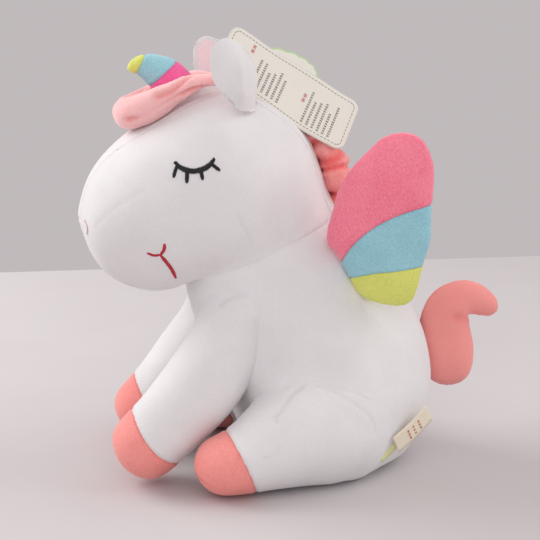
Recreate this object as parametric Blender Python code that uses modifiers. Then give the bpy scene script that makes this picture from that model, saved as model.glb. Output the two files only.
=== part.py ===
"""Plush unicorn, seated. Lengths in millimetres below, turned into metres as each mesh is made.

The toy faces -Y, its left side is +X and it sits on z = 0, with the origin in the middle of its seat panel.
Each stuffed part is one closed form. Its fabric panels are cut from that form's surface and given
their thickness inwards, and its filling is the same form, drawn in by the fabric and a small gap.
"""

import math

import bmesh
import bpy
from mathutils import Matrix, Vector
from mathutils.bvhtree import BVHTree

MM = 0.001
FABRIC = 1.0            # thickness of the short-pile fabric
GAP = 0.4               # between pieces that touch
FILL_INSET = FABRIC + 2.5 * GAP
SEAT_HEIGHT = 1.4       # side panels and filling start this far above the ground
STITCH_LIFT = 1.1       # embroidery stands this far off the form, whose facets its strokes cross

# Neck: the head turns on a dome at the top of the body.
NECK_CENTRE = Vector((0, -30, 117))
NECK_UP = Vector((0, -0.41, 0.91)).normalized()
CUP_RADIUS = 52.0

GUSSET_HALF_WIDTH = 24
GUSSET_SPLIT_HEIGHT = 152

SHOULDER = {"left": Vector((33, -55, 84)), "right": Vector((-33, -53, 84))}
FRONT_HOOF = {"left": Vector((34, -110, 21)), "right": Vector((-34, -103, 21))}
SHOULDER_RADIUS = 22.5
HOOF_RADIUS = 21.0
LEG_CLEARANCE = 2.0
HOOF_SEAM = 0.89        # share of the leg's length at which the hoof starts

WING_ROOT_FRONT = Vector((39, -3, 140))
WING_ROOT_BACK = Vector((47, 20, 107))
WING_OUT = {"left": Vector((0.45, 0.68, 0.58)), "right": Vector((-0.80, 0.58, 0.16))}
WING_THICKNESS = 17
WING_OUTLINE = ((2, 1), (-10, 10), (-21, 25), (-27.5, 41), (-30.5, 60), (-25, 75), (-14, 80), (0, 75), (15, 63),
                (31, 50), (43, 36), (53, 23), (51, 10), (40, 1), (26, 0))
WING_SEAMS = (((11, 0), (11, 60)), ((24, 1), (41, 40)))

EAR_BASE = Vector((38.5, -47, 214.5))
EAR_OPENING = Vector((-0.87, -0.49, 0))
EAR_THICKNESS = 6
EAR_OUTLINE = ((3, -9), (9, -17), (17, -23), (26, -25), (34, -24), (38.5, -19), (37.5, -10), (31, -1.5), (22, 4.5),
               (12, 6), (3, 4))

TAIL_HINGE = Vector((0, 80, 60))

TAG_CENTRE = Vector((7.5, -21.3, 225.3))
TAG_LENGTH_WAY = Vector((0, 0.84, -0.54))
TAG_WIDTH_WAY = Vector((-0.6, 0.43, 0.67))
TAG_SIZE = (88, 37, 0.6)
TAG_HOLE = (-32, -3.5)   # from the card's centre, along it and across it
TAG_HOLE_RADIUS = 1.6
LEAF_SIZE = (56, 27)
LEAF_TURN = math.radians(30)

COLOURS = {
    "white_plush": (0.86, 0.82, 0.83), "coral_plush": (0.83, 0.28, 0.27), "pale_coral_plush": (0.86, 0.50, 0.50),
    "pink_plush": (0.84, 0.15, 0.24), "blue_plush": (0.33, 0.62, 0.72), "yellow_plush": (0.76, 0.80, 0.20),
    "lining": (0.86, 0.70, 0.74), "black_thread": (0.02, 0.02, 0.03), "red_thread": (0.55, 0.05, 0.08),
    "filling": (0.9, 0.9, 0.9), "card": (0.80, 0.76, 0.66), "label": (0.82, 0.76, 0.58), "fastener": (0.8, 0.8, 0.8),
}


# ---------------------------------------------------------------- collections, materials, objects

def collection(name):
    made = bpy.data.collections.new(name)
    bpy.context.scene.collection.children.link(made)
    return made


def material(name):
    if name in bpy.data.materials:
        return bpy.data.materials[name]
    made = bpy.data.materials.new(name)
    made.use_nodes = True
    shader = made.node_tree.nodes["Principled BSDF"]
    shader.inputs["Base Color"].default_value = (*COLOURS[name], 1)
    shader.inputs["Roughness"].default_value = 0.45 if name in ("card", "fastener") else 0.95
    shader.inputs["Metallic"].default_value = 0
    return made


def add_object(name, mesh, finish, parent=None):
    """A node of the toy, whose mesh is already in its place; parent is the empty on its joint's axis."""
    made = bpy.data.objects.new(name, mesh)
    mesh.name = name
    mesh.materials.clear()
    mesh.materials.append(material(finish))
    mesh.shade_smooth()
    parts.objects.link(made)
    if parent:
        made.parent = parent
        made.matrix_parent_inverse = Matrix.Translation(parent.location).inverted()
    return made


def add_pivot(name, place):
    pivot = bpy.data.objects.new(name, None)
    pivot.location = place * MM
    pivot.empty_display_size = 0.02
    parts.objects.link(pivot)
    return pivot


def add_cutter(name, mesh):
    made = bpy.data.objects.new(name, mesh)
    made.hide_render = True
    made.display_type = "WIRE"
    cutters.objects.link(made)
    return made


def cut_away(pieces, cutter):
    for piece in pieces:
        boolean = piece.modifiers.new("Cut " + cutter.name, "BOOLEAN")
        boolean.operation = "DIFFERENCE"
        boolean.solver = "EXACT"
        boolean.object = cutter


# ---------------------------------------------------------------- forms

def mesh_of(bm):
    bmesh.ops.recalc_face_normals(bm, faces=bm.faces)
    if bm.calc_volume(signed=True) < 0:
        bmesh.ops.reverse_faces(bm, faces=bm.faces)
    mesh = bpy.data.meshes.new("form")
    bm.to_mesh(mesh)
    bm.free()
    return mesh


def rounded(mesh, levels=1):
    """The mesh that Subdivision Surface makes of this coarse cage."""
    cage = bpy.data.objects.new("cage", mesh)
    bpy.context.scene.collection.objects.link(cage)
    subdivide = cage.modifiers.new("Subdivision", "SUBSURF")
    subdivide.levels = levels
    subdivide.render_levels = levels
    bpy.context.view_layer.update()
    made = bpy.data.meshes.new_from_object(cage.evaluated_get(bpy.context.evaluated_depsgraph_get()))
    bpy.data.objects.remove(cage)
    bpy.data.meshes.remove(mesh)
    return made


def loft(rings, segments, start, end):
    """A cage through elliptical rings, each (centre, half axis, half axis), closed at its start and end."""
    bm = bmesh.new()
    loops = []
    turns = [2 * math.pi * step / segments for step in range(segments)]
    swell = 1 / (0.75 + 0.25 * math.cos(turns[1]))      # subdivision draws a ring in by this much
    for centre, first, second in rings:
        offsets = [(first * math.cos(turn) + second * math.sin(turn)) * swell for turn in turns]
        loops.append([bm.verts.new((centre + offset) * MM) for offset in offsets])
    for before, after in zip(loops, loops[1:]):
        for step in range(segments):
            other = (step + 1) % segments
            bm.faces.new((before[step], before[other], after[other], after[step]))
    for tip, loop in ((start, loops[0]), (end, loops[-1])):
        point = bm.verts.new(tip * MM)
        for step in range(segments):
            bm.faces.new((loop[step], loop[(step + 1) % segments], point))
    return mesh_of(bm)


def side_rings(stations):
    """Rings across the toy's middle plane, each from a low (y, z), a high (y, z) and a half width."""
    rings = []
    for low, high, half_width in stations:
        low = Vector((0, *low))
        high = Vector((0, *high))
        rings.append(((low + high) / 2, (high - low) / 2, Vector((half_width, 0, 0))))
    return rings


def tube_rings(points, widths, across):
    """Rings along a path: widths are (half width along across, half width at right angles to it)."""
    rings = []
    for index, point in enumerate(points):
        before = points[max(index - 1, 0)]
        after = points[min(index + 1, len(points) - 1)]
        along = (after - before).normalized()
        first = (across - along * across.dot(along)).normalized()
        second = along.cross(first)
        wide, deep = widths[index]
        rings.append((point, first * wide, second * deep))
    return rings


def pad(outline, origin, long_way, out_way, thickness, segments=16, rings=6, puff=0.5):
    """A flattened sphere drawn out to an outline of (distance along long_way, distance along out_way)."""
    middle = Vector((sum(p[0] for p in outline), sum(p[1] for p in outline))) / len(outline)
    polar = sorted((math.atan2(p[1] - middle.y, p[0] - middle.x), math.dist(p, middle) * 1.03) for p in outline)
    polar = [(polar[-1][0] - 2 * math.pi, polar[-1][1]), *polar, (polar[0][0] + 2 * math.pi, polar[0][1])]
    normal = long_way.cross(out_way).normalized()
    bm = bmesh.new()
    bmesh.ops.create_uvsphere(bm, u_segments=segments, v_segments=rings, radius=1)
    for vert in bm.verts:
        share = min(1.0, math.hypot(vert.co.x, vert.co.y))
        angle = math.atan2(vert.co.y, vert.co.x)
        for (low, near), (high, far) in zip(polar, polar[1:]):
            if low <= angle <= high:
                reach = near + (far - near) * (angle - low) / (high - low)
                break
        height = math.copysign((1 - share ** 2) ** puff, vert.co.z) * thickness / 2
        along = middle.x + reach * share * math.cos(angle)
        out = middle.y + reach * share * math.sin(angle)
        vert.co = (origin + long_way * along + out_way * out + normal * height) * MM
    return mesh_of(bm)


def moved_out(mesh, distance):
    """A copy of a form with every point moved along its normal; a negative distance moves it in."""
    made = mesh.copy()
    for vert, normal in zip(made.vertices, [point.vector.copy() for point in mesh.vertex_normals]):
        vert.co += normal * distance * MM
    return made


def kept_side(mesh, *planes, close=False):
    """A copy cut to the side of each plane (point, normal) that its normal points to."""
    bm = bmesh.new()
    bm.from_mesh(mesh)
    for point, normal in planes:
        everything = bm.verts[:] + bm.edges[:] + bm.faces[:]
        cut = bmesh.ops.bisect_plane(bm, geom=everything, dist=1e-7, plane_co=point * MM, plane_no=normal,
                                     clear_inner=True)
        if close:
            rim = [item for item in cut["geom_cut"] if isinstance(item, bmesh.types.BMEdge)]
            bmesh.ops.edgenet_fill(bm, edges=rim)
    made = bpy.data.meshes.new("panel")
    bm.to_mesh(made)
    bm.free()
    return made


def add_skin(name, form, finish, planes, parent=None):
    """A fabric panel: the form's surface inside the planes, with the fabric's thickness inwards."""
    skin = add_object(name, kept_side(form, *planes), finish, parent)
    wall = skin.modifiers.new("Fabric", "SOLIDIFY")
    wall.thickness = FABRIC * MM
    wall.offset = -1
    return skin


def add_filling(name, form, parent=None, planes=()):
    return add_object(name, kept_side(moved_out(form, -FILL_INSET), *planes, close=True), "filling", parent)


def ball(name, centre, radius):
    bm = bmesh.new()
    place = Matrix.Translation(centre * MM)
    bmesh.ops.create_uvsphere(bm, u_segments=28, v_segments=18, radius=radius * MM, matrix=place)
    return add_cutter(name, mesh_of(bm))


# ---------------------------------------------------------------- head

def make_head():
    stations = (
        ((-139, 139), (-139, 167), 19),
        ((-132, 125), (-130, 185), 37),
        ((-118, 112), (-112, 203), 50),
        ((-101, 107), (-86, 220), 57),
        ((-89, 109), (-50, 230), 58),
        ((-85, 111), (-23, 212), 55),
        ((-81, 115), (4, 157), 46),
    )
    form = rounded(loft(side_rings(stations), 10, Vector((0, -143, 153)), Vector((0, -38, 132))))
    aside = Vector((1, 0, 0))
    above = Vector((0, 0, 1))
    seam = Vector((GUSSET_HALF_WIDTH, 0, 0))
    half_gap = Vector((GAP / 2, 0, 0))
    neck_plane = (NECK_CENTRE + NECK_UP * 20, NECK_UP)
    split = Vector((0, 0, GUSSET_SPLIT_HEIGHT))
    middle = [neck_plane, (seam - half_gap, -aside), (half_gap - seam, aside)]
    pieces = [
        add_skin("head_side_left", form, "white_plush", [neck_plane, (seam + half_gap, aside)], head_pivot),
        add_skin("head_side_right", form, "white_plush", [neck_plane, (-seam - half_gap, -aside)], head_pivot),
        add_skin("head_gusset", form, "white_plush", [*middle, (split + above * GAP / 2, above)], head_pivot),
        add_skin("chin_gusset", form, "white_plush", [*middle, (split - above * GAP / 2, -above)], head_pivot),
        add_filling("head_stuffing", form, head_pivot),
    ]
    cut_away(pieces, ball("neck_cup", NECK_CENTRE, CUP_RADIUS))
    return form


def on_head(side, y, z, lift):
    """The point of the head's side at this y and z, lifted off along the surface's normal."""
    start = Vector((side * 200, y, z)) * MM
    hit, normal, _, _ = head_tree.ray_cast(start, Vector((-side, 0, 0)))
    return hit / MM + normal * lift


def stitched(name, side, strokes, radius, finish):
    """Embroidery as raised stitching: strokes of (y, z) points along the head, joined into one body."""
    bodies = []
    for stroke in strokes:
        path = [on_head(side, y, z, radius + STITCH_LIFT) for y, z in stroke]
        rings = tube_rings(path, [(radius, radius)] * len(path), Vector((side, 0.1, 0.1)))
        lead = (path[0] - path[1]).normalized() * radius * 0.6
        tail = (path[-1] - path[-2]).normalized() * radius * 0.6
        bodies.append(loft(rings, 5, path[0] + lead, path[-1] + tail))
    made = add_object(name, bodies[0], finish, head_pivot)
    for number, body in enumerate(bodies[1:]):
        union = made.modifiers.new("Stroke", "BOOLEAN")
        union.operation = "UNION"
        union.solver = "EXACT"
        union.object = add_cutter(f"{name}_stroke_{number}", body)


def make_face():
    lid = [(-89 + 22 * t / 5, 188.5 - 4.2 * math.sin(math.pi * t / 5)) for t in range(6)]
    lashes = [[lid[at], (lid[at][0] + dy, lid[at][1] + dz)] for at, dy, dz in
              ((1, -3, -3.5), (2, -1.5, -5), (3, 1, -5), (4, 3, -4))]
    mouth = [[(-105, 138.5), (-101.5, 137), (-98, 137.5)],
             [(-96, 143), (-97.5, 139), (-97, 134), (-93, 127), (-90, 121)]]
    for word, side in (("left", 1), ("right", -1)):
        stitched(f"eye_{word}", side, [lid, *lashes], 0.9, "black_thread")
        stitched(f"mouth_{word}", side, mouth, 1.0, "red_thread")
        stitched(f"nostril_{word}", side, [[(-138.5, 153), (-137, 149), (-137.5, 145)]], 0.7, "lining")


def make_ears():
    for word, side in (("left", 1), ("right", -1)):
        mirror = Vector((side, 1, 1))
        base = EAR_BASE * mirror
        up = Vector((0, 0, 1))
        opening = (EAR_OPENING * mirror).normalized()
        across = EAR_OPENING.normalized().cross(up) * mirror
        pivot = add_pivot(f"ear_{word}_pivot", base)
        form = pad(EAR_OUTLINE, base, up, across, EAR_THICKNESS, segments=12, rings=6)
        middle = base + opening * 0.5
        add_skin(f"ear_back_{word}", form, "white_plush", [(middle - opening * GAP / 2, -opening)], pivot)
        add_skin(f"ear_lining_{word}", form, "lining", [(middle + opening * GAP / 2, opening)], pivot)


def make_horn():
    path = [Vector((0, y, z)) for y, z in ((-82, 229), (-91, 233.5), (-101, 237.5), (-110, 237.5))]
    radii = (11.3, 10.3, 7.6, 3.4)
    rings = tube_rings(path, [(r, r) for r in radii], Vector((1, 0, 0)))
    form = rounded(loft(rings, 6, Vector((0, -79, 227)), Vector((0, -113.5, 236))))
    first = (Vector((0, -92, 234)), Vector((0, -0.8, 0.6)))
    second = (Vector((0, -105, 238)), Vector((0, -0.93, 0.36)))
    root = (Vector((0, -81.5, 229.5)), Vector((0, -0.8, 0.6)))
    for name, finish, low, high in (("horn_base_band", "pink_plush", root, first),
                                    ("horn_middle_band", "blue_plush", first, second),
                                    ("horn_tip_band", "yellow_plush", second, None)):
        planes = [(low[0] + low[1] * GAP / 2, low[1])]
        if high:
            planes.append((high[0] - high[1] * GAP / 2, -high[1]))
        add_skin(name, form, finish, planes, head_pivot)
    add_filling("horn_stuffing", form, head_pivot)


def make_hair():
    """The forelock is a roll that loops round the front of the horn; the mane runs down the nape."""
    loop = [Vector(p) for p in ((19, -69, 237), (22, -89, 227), (16, -110, 215), (0, -117, 213),
                                (-16, -110, 215), (-22, -89, 227), (-19, -69, 237))]
    sizes = [(8, 8), (9, 9), (9.5, 9.5), (9.5, 9.5), (9.5, 9.5), (9, 9), (8, 8)]
    rings = tube_rings(loop, sizes, Vector((0, 0.3, 1)))
    roll = rounded(loft(rings, 6, loop[0] + Vector((-1, 6, 2)), loop[-1] + Vector((1, 6, 2))))
    ends = [(loop[0] + Vector((0, 1, 0)), Vector((0, -1, -0.2)))]
    add_skin("forelock", roll, "pale_coral_plush", ends, head_pivot)
    add_filling("forelock_stuffing", roll, head_pivot)
    nape = [Vector((0, y, z)) for y, z in ((-33, 225), (-14, 211), (1, 190), (12, 167))]
    sizes = [(9, 5), (13, 7.5), (14.5, 8.5), (11, 7)]
    rings = tube_rings(nape, sizes, Vector((1, 0, 0)))
    crest = rounded(loft(rings, 6, Vector((0, -40, 226)), Vector((0, 18, 158))))
    add_skin("mane", crest, "coral_plush", [(Vector((0, 14, 167)), Vector((0, -0.4, 0.9)))], head_pivot)
    add_filling("mane_stuffing", crest, head_pivot)


# ---------------------------------------------------------------- body, legs, tail

def capsule(shoulder, hoof, root_radius, end_radius):
    """A leg that ends in a ball round its shoulder joint and in a rounded hoof."""
    way = (hoof - shoulder).normalized()
    length = (hoof - shoulder).length
    shares = (0.0, 0.5, 1.0)
    path = [shoulder + way * length * share for share in shares]
    radii = [root_radius + (end_radius - root_radius) * share for share in shares]
    for share, turn in ((0.0, -50), (1.0, 50)):
        lean = math.sin(math.radians(turn))
        size = math.cos(math.radians(turn))
        radius = root_radius if share == 0 else end_radius
        point = shoulder + way * (length * share + radius * lean * 1.1)
        path.insert(0 if share == 0 else len(path), point)
        radii.insert(0 if share == 0 else len(radii), radius * size * 1.08)
    rings = tube_rings(path, [(r, r) for r in radii], Vector((1, 0, 0)))
    start = shoulder - way * root_radius * 1.08
    return rounded(loft(rings, 8, start, hoof + way * end_radius * 1.08))


def make_front_legs():
    forms = []
    for word in ("left", "right"):
        shoulder = SHOULDER[word]
        hoof = FRONT_HOOF[word]
        pivot = add_pivot(f"front_leg_{word}_pivot", shoulder)
        form = capsule(shoulder, hoof, SHOULDER_RADIUS, HOOF_RADIUS)
        way = (hoof - shoulder).normalized()
        seam = shoulder + (hoof - shoulder) * HOOF_SEAM
        tilt = (way + Vector((0, 0.25, 0))).normalized()
        root = (shoulder - way * SHOULDER_RADIUS * 0.75, way)
        add_skin(f"front_leg_{word}", form, "white_plush", [root, (seam - tilt * GAP / 2, -tilt)], pivot)
        add_skin(f"front_hoof_{word}", form, "coral_plush", [(seam + tilt * GAP / 2, tilt)], pivot)
        add_filling(f"front_leg_stuffing_{word}", form, pivot)
        forms.append((word, form))
    return forms


def make_hind_legs():
    stations = ((61, -75, 16.8, 14.5, 13.8), (59.5, -60, 19, 21, 19), (54, -30, 30.2, 26, 30.6),
                (47, 2, 32, 27, 32.5), (43, 22, 27, 18, 22))
    forms = []
    for word, side in (("left", 1), ("right", -1)):
        path = [Vector((side * s[0], s[1], s[2])) for s in stations]
        rings = tube_rings(path, [(s[3], s[4]) for s in stations], Vector((1, 0, 0)))
        start = Vector((side * 61.5, -82.5, 16.5))
        form = rounded(loft(rings, 8, start, Vector((side * 42, 31, 26))))
        form = kept_side(form, (Vector((0, 0, 0)), Vector((0, 0, 1))), close=True)
        seam = Vector((side * 60, -58, 19))
        tilt = Vector((side * 0.1, -0.92, -0.4)).normalized()
        hip = (Vector((side * 42, 24, 26)), Vector((side * 0.3, -0.95, 0)).normalized())
        add_skin(f"hind_leg_{word}", form, "white_plush", [hip, (seam - tilt * GAP / 2, -tilt)])
        add_skin(f"hind_hoof_{word}", form, "coral_plush", [(seam + tilt * GAP / 2, tilt)])
        add_filling(f"hind_leg_stuffing_{word}", form)
        forms.append((word, form))
    return forms


def make_body():
    stations = (
        ((-24, -4), (38, -4), 34),
        ((-38, 4), (56, 4), 48),
        ((-45, 24), (70, 30), 56),
        ((-57, 56), (71, 66), 58),
        ((-73, 86), (51, 106), 55),
        ((-79, 110), (6, 149), 46),
    )
    rings = side_rings(stations)
    for rise, radius in ((32, 37), (43.5, 22)):
        spread = NECK_UP.cross(Vector((1, 0, 0)))
        rings.append((NECK_CENTRE + NECK_UP * rise, spread * radius, Vector((radius, 0, 0))))
    form = rounded(loft(rings, 10, Vector((0, 7, -5)), NECK_CENTRE + NECK_UP * 48.5))
    up = Vector((0, 0, 1))
    floor = (up * SEAT_HEIGHT, up)
    aside = Vector((1, 0, 0))
    pieces = [
        add_skin("body_side_left", form, "white_plush", [floor, (aside * GAP / 2, aside)]),
        add_skin("body_side_right", form, "white_plush", [floor, (aside * -GAP / 2, -aside)]),
        add_filling("body_stuffing", form, planes=[floor]),
    ]
    seat = kept_side(form, (Vector((0, 0, 0)), up), (Vector((0, 0, FABRIC)), -up), close=True)
    pieces.append(add_object("seat_panel", seat, "white_plush"))
    return pieces


def make_tail():
    """A flat S-curved tail, whose root is rounded so that it can wag."""
    pivot = add_pivot("tail_pivot", TAIL_HINGE)
    path = [Vector((0, y, z)) for y, z in ((75.5, 59), (83, 60), (83, 83), (95, 95), (112, 91))]
    widths = ((7, 22), (11, 19), (11, 18), (9, 13), (5, 6))
    rings = tube_rings(path, widths, Vector((1, 0, 0)))
    rings[0] = (path[0], Vector((widths[0][0], 0, 0)), Vector((0, 0, -widths[0][1])))
    form = rounded(loft(rings, 6, Vector((0, 72.5, 58)), Vector((0, 118, 89))))
    add_skin("tail", form, "coral_plush", [(Vector((0, 75.5, 57)), Vector((0, 1, 0)))], pivot)
    add_filling("tail_stuffing", form, pivot)


# ---------------------------------------------------------------- wings

def make_wings():
    for word, side in (("left", 1), ("right", -1)):
        mirror = Vector((side, 1, 1))
        origin = WING_ROOT_FRONT * mirror
        along = ((WING_ROOT_BACK - WING_ROOT_FRONT) * mirror).normalized()
        out = WING_OUT[word]
        out = (out - along * out.dot(along)).normalized()
        pivot = add_pivot(f"wing_{word}_pivot", origin)
        form = pad(WING_OUTLINE, origin, along, out, WING_THICKNESS, segments=16, rings=6, puff=0.62)
        normal = along.cross(out)
        cuts = []
        for (a0, b0), (a1, b1) in WING_SEAMS:
            start = origin + along * a0 + out * b0
            way = along * (a1 - a0) + out * (b1 - b0)
            across = way.cross(normal).normalized()
            cuts.append((start, across * math.copysign(1, across.dot(along))))
        bands = (("pink", None, cuts[0]), ("blue", cuts[0], cuts[1]), ("yellow", cuts[1], None))
        for colour, low, high in bands:
            planes = []
            if low:
                planes.append((low[0] + low[1] * GAP / 2, low[1]))
            if high:
                planes.append((high[0] - high[1] * GAP / 2, -high[1]))
            add_skin(f"wing_{colour}_band_{word}", form, f"{colour}_plush", planes, pivot)
        add_filling(f"wing_stuffing_{word}", form, pivot)


# ---------------------------------------------------------------- hang tag and label

def slab(outline, centre, long_way, wide_way, thickness):
    """A flat sheet of this outline, (distance along long_way, distance along wide_way)."""
    bm = bmesh.new()
    face = bm.faces.new([bm.verts.new((centre + long_way * a + wide_way * b) * MM) for a, b in outline])
    normal = long_way.cross(wide_way).normalized()
    raised = bmesh.ops.extrude_face_region(bm, geom=[face])["geom"]
    risen = [item for item in raised if isinstance(item, bmesh.types.BMVert)]
    bmesh.ops.translate(bm, verts=risen, vec=normal * thickness * MM)
    return mesh_of(bm)


def rounded_outline(length, width, radius, steps=4):
    outline = []
    for corner, (along, across) in enumerate(((1, 1), (-1, 1), (-1, -1), (1, -1))):
        middle = (along * (length / 2 - radius), across * (width / 2 - radius))
        for step in range(steps + 1):
            turn = math.pi / 2 * (corner + step / steps)
            outline.append((middle[0] + radius * math.cos(turn), middle[1] + radius * math.sin(turn)))
    return outline


def rod(base, way, length, radius, sides):
    bm = bmesh.new()
    turn = Vector((0, 0, 1)).rotation_difference(way).to_matrix().to_4x4()
    place = Matrix.Translation((base + way * length / 2) * MM) @ turn
    bmesh.ops.create_cone(bm, cap_ends=True, segments=sides, radius1=radius * MM, radius2=radius * MM,
                          depth=length * MM, matrix=place)
    return mesh_of(bm)


def make_tags():
    """A long card and a scalloped leaf swivel on one moulded fastener pushed into the crown of the head."""
    length_way = TAG_LENGTH_WAY.normalized()
    wide_way = (TAG_WIDTH_WAY - length_way * TAG_WIDTH_WAY.dot(length_way)).normalized()
    facing = length_way.cross(wide_way).normalized()
    hole = TAG_CENTRE + length_way * TAG_HOLE[0] + wide_way * TAG_HOLE[1]
    card_pivot = add_pivot("tag_card_pivot", hole)
    leaf_pivot = add_pivot("tag_leaf_pivot", hole)
    card_mesh = slab(rounded_outline(TAG_SIZE[0], TAG_SIZE[1], 6), TAG_CENTRE, length_way, wide_way, TAG_SIZE[2])
    card = add_object("tag_card", card_mesh, "card", card_pivot)
    leaf_way = length_way * math.cos(LEAF_TURN) + wide_way * math.sin(LEAF_TURN)
    lobes = 18
    outline = []
    for step in range(lobes * 2):
        turn = math.pi * step / lobes
        wave = 0.45 * math.cos(turn * lobes)
        outline.append(((LEAF_SIZE[0] / 2 + wave) * math.cos(turn), (LEAF_SIZE[1] / 2 + wave) * math.sin(turn)))
    centre = hole + leaf_way * (LEAF_SIZE[0] / 2 - 4) - facing * 1.2
    beside = facing.cross(leaf_way)
    leaf = add_object("tag_leaf", slab(outline, centre, leaf_way, beside, TAG_SIZE[2]), "card", leaf_pivot)
    holes = rod(hole - facing * 4, facing, 8, TAG_HOLE_RADIUS, 10)
    cut_away([card, leaf], add_cutter("tag_holes", holes))
    sink = (Vector((0, 0, -1.3)) - facing).normalized()
    depth = head_tree.ray_cast(hole * MM, sink)[3] / MM
    pin = rod(hole - sink * 1.6, sink, depth + 1.6 - GAP * 2, 0.6, 8)
    fastener = add_object("tag_fastener", pin, "fastener", head_pivot)
    join = fastener.modifiers.new("Cap", "BOOLEAN")
    join.operation = "UNION"
    join.solver = "EXACT"
    cap = rod(hole + facing * 1.2, facing, 0.9, 2.8, 10)
    join.object = add_cutter("fastener_cap", cap)


def make_care_label():
    """A folded label sewn into the seam between the body and its seat, low on the left of the back."""
    out = Vector((-0.42, 0.68, 0.60)).normalized()
    up = Vector((0.25, -0.52, 0.81)).normalized()
    for name, turn, shift in (("care_label_back", 0.0, 0.0), ("care_label_front", -6.0, 1.2)):
        spin = Matrix.Rotation(math.radians(turn), 3, "Z")
        root = Vector((60, 31, 15)) + Vector((0.8, 0.6, 0.1)) * shift
        sheet = slab(rounded_outline(32, 13, 1.5, 2), root + spin @ out * 16, spin @ out, up, 0.35)
        add_object(name, sheet, "label")


# ---------------------------------------------------------------- assembly

for old in list(bpy.data.objects):
    bpy.data.objects.remove(old)
parts = collection("plush_unicorn")
cutters = collection("cutters")
cutters.hide_render = True

head_pivot = add_pivot("head_pivot", NECK_CENTRE)
head_form = make_head()
head_bm = bmesh.new()
head_bm.from_mesh(head_form)
head_tree = BVHTree.FromBMesh(head_bm)
head_bm.free()
make_face()
make_ears()
make_horn()
make_hair()
body_pieces = make_body()
for side_word, leg_form in make_front_legs():
    cut_away(body_pieces[:3], add_cutter(f"front_leg_room_{side_word}", moved_out(leg_form, LEG_CLEARANCE)))
for side_word, leg_form in make_hind_legs():
    cut_away(body_pieces, add_cutter(f"hind_leg_room_{side_word}", moved_out(leg_form, GAP)))
make_tail()
make_wings()
make_tags()
make_care_label()
print(len([item for item in parts.objects if item.type == "MESH"]), "pieces")
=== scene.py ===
import math
import random

import bmesh
import bpy
import numpy as np
from mathutils import Matrix, Vector, noise
from mathutils.bvhtree import BVHTree


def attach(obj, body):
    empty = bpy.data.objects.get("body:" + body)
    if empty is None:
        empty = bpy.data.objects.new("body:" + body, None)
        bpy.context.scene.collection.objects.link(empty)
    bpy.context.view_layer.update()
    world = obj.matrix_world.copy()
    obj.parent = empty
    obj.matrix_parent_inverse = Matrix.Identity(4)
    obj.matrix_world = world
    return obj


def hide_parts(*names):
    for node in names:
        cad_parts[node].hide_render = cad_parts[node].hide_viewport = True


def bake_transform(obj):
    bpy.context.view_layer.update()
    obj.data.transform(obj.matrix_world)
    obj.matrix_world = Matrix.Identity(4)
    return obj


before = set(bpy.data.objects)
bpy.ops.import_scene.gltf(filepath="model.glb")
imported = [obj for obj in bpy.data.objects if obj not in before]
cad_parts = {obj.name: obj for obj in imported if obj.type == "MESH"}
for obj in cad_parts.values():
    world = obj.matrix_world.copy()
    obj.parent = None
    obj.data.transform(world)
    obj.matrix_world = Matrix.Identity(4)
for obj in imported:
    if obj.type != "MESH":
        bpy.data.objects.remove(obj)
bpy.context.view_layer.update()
mm = 0.001
xAxis = Vector((1, 0, 0))
sides = (("left", 1), ("right", -1))
print("frame loaded")


# Shader maths: a socket that can be added, multiplied and so on

class Field:
    def __init__(self, tree, socket):
        self.tree = tree
        self.socket = socket

    def maths(self, operation, other, flip=False):
        node = self.tree.nodes.new("ShaderNodeMath")
        node.operation = operation
        for index, value in enumerate((other, self) if flip else (self, other)):
            if isinstance(value, Field):
                self.tree.links.new(value.socket, node.inputs[index])
            else:
                node.inputs[index].default_value = value
        return Field(self.tree, node.outputs[0])

    def __add__(self, other):
        return self.maths("ADD", other)

    def __sub__(self, other):
        return self.maths("SUBTRACT", other)

    def __rsub__(self, other):
        return self.maths("SUBTRACT", other, flip=True)

    def __mul__(self, other):
        return self.maths("MULTIPLY", other)

    __radd__ = __add__
    __rmul__ = __mul__


class Finish:
    # one material: node() makes any node from its type, its settings and its sockets' values or links
    def __init__(self, name, roughness, **constants):
        self.material = bpy.data.materials.new(name)
        self.material.use_nodes = True
        self.tree = self.material.node_tree
        self.shader = self.tree.nodes["Principled BSDF"]
        self.shader.inputs["Roughness"].default_value = roughness
        for socket, value in constants.items():
            self.shader.inputs[socket.replace("_", " ")].default_value = value

    def node(self, kind, settings=None, output=0, **inputs):
        made = self.tree.nodes.new("ShaderNode" + kind)
        for key, value in (settings or {}).items():
            setattr(made, key, value)
        for name, value in inputs.items():
            key = name.replace("_", " ")
            socket = made.inputs[int(key[1:])] if key[0] == "i" and key[1:].isdigit() else made.inputs[key]
            if isinstance(value, Field):
                self.tree.links.new(value.socket, socket)
            else:
                socket.default_value = value
        return Field(self.tree, made.outputs[output])

    def place(self):
        return self.node("TexCoord", output=3)

    def grain(self, scale, detail=2.0, rough=0.5, stretch=(1, 1, 1)):
        spot = self.node("Mapping", Vector=self.place(), Scale=stretch)
        return self.node("TexNoise", Vector=spot, Scale=scale, Detail=detail, Roughness=rough)

    def blendColour(self, amount, first, second):
        settings = {"data_type": "RGBA"}
        return self.node("Mix", settings, output=2, i0=amount, i6=first, i7=second)

    def colour(self, field):
        self.tree.links.new(field.socket, self.shader.inputs["Base Color"])
        return self

    def bump(self, height, distance, strength=1.0):
        bumped = self.node("Bump", Height=height, Distance=distance, Strength=strength)
        self.tree.links.new(bumped.socket, self.shader.inputs["Normal"])
        return self


def shade(red, green, blue):
    return (red, green, blue, 1)


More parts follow.
